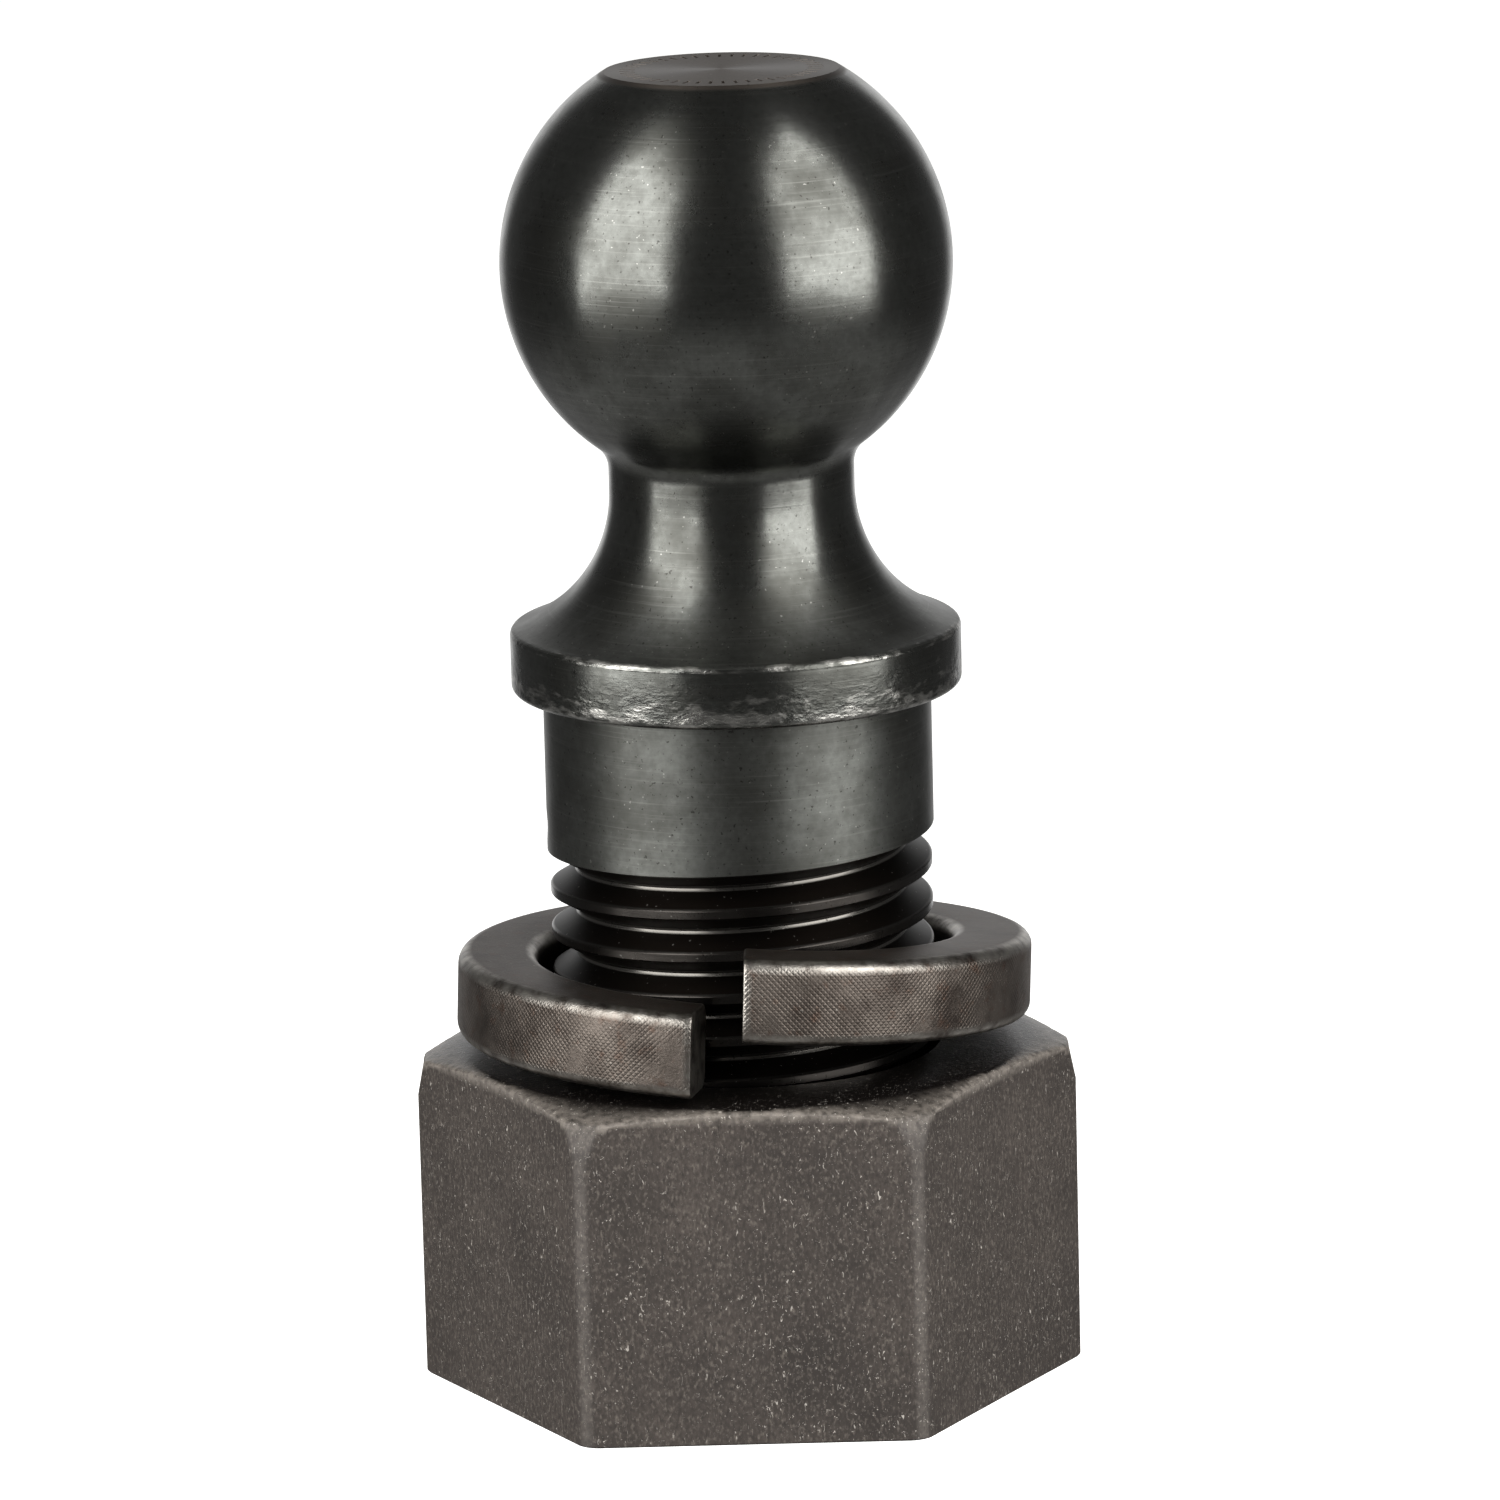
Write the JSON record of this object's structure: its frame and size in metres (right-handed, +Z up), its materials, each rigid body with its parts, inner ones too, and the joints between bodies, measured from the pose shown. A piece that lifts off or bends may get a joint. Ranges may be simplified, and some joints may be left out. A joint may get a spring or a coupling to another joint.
{
  "type": "trailer hitch ball",
  "caption": "Flat-topped steel hitch ball on a flanged, threaded shank, with a split lock washer and a hex nut that turn down the thread.",
  "frame": {"origin": "centre of the hex nut's bottom face, on the stud's axis", "axes": "+Z up along the stud's axis towards the ball, -Y towards one flat of the nut, +X towards one of its corners"},
  "size_m": [0.087, 0.0762, 0.1732],
  "materials": {
    "blackened_steel": "machined and black oxide coated",
    "spring_steel": "hardened, oiled and lightly worn on its edges",
    "forged_steel": "matt forged and phosphate coated"
  },
  "bodies": {
    "stud": {"ball_stud": "blackened_steel"},
    "washer": {"lock_washer": "spring_steel"},
    "nut": {"hex_nut": "forged_steel"}
  },
  "joints": [
    {"name": "washer_slide", "type": "slide", "parent": "stud", "child": "washer", "axis": [0, 0, 1], "range_m": [-0.0425, 0.0245]},
    {"name": "nut_turn", "type": "hinge", "parent": "washer", "child": "nut", "pos_m": [0, 0, 0], "axis": [0, 0, 1], "range_deg": [-2680, 1530]}
  ],
  "couplings": [
    {"joint": "washer_slide", "follows": "nut_turn", "m_per_rad": 0.00089833}
  ]
}
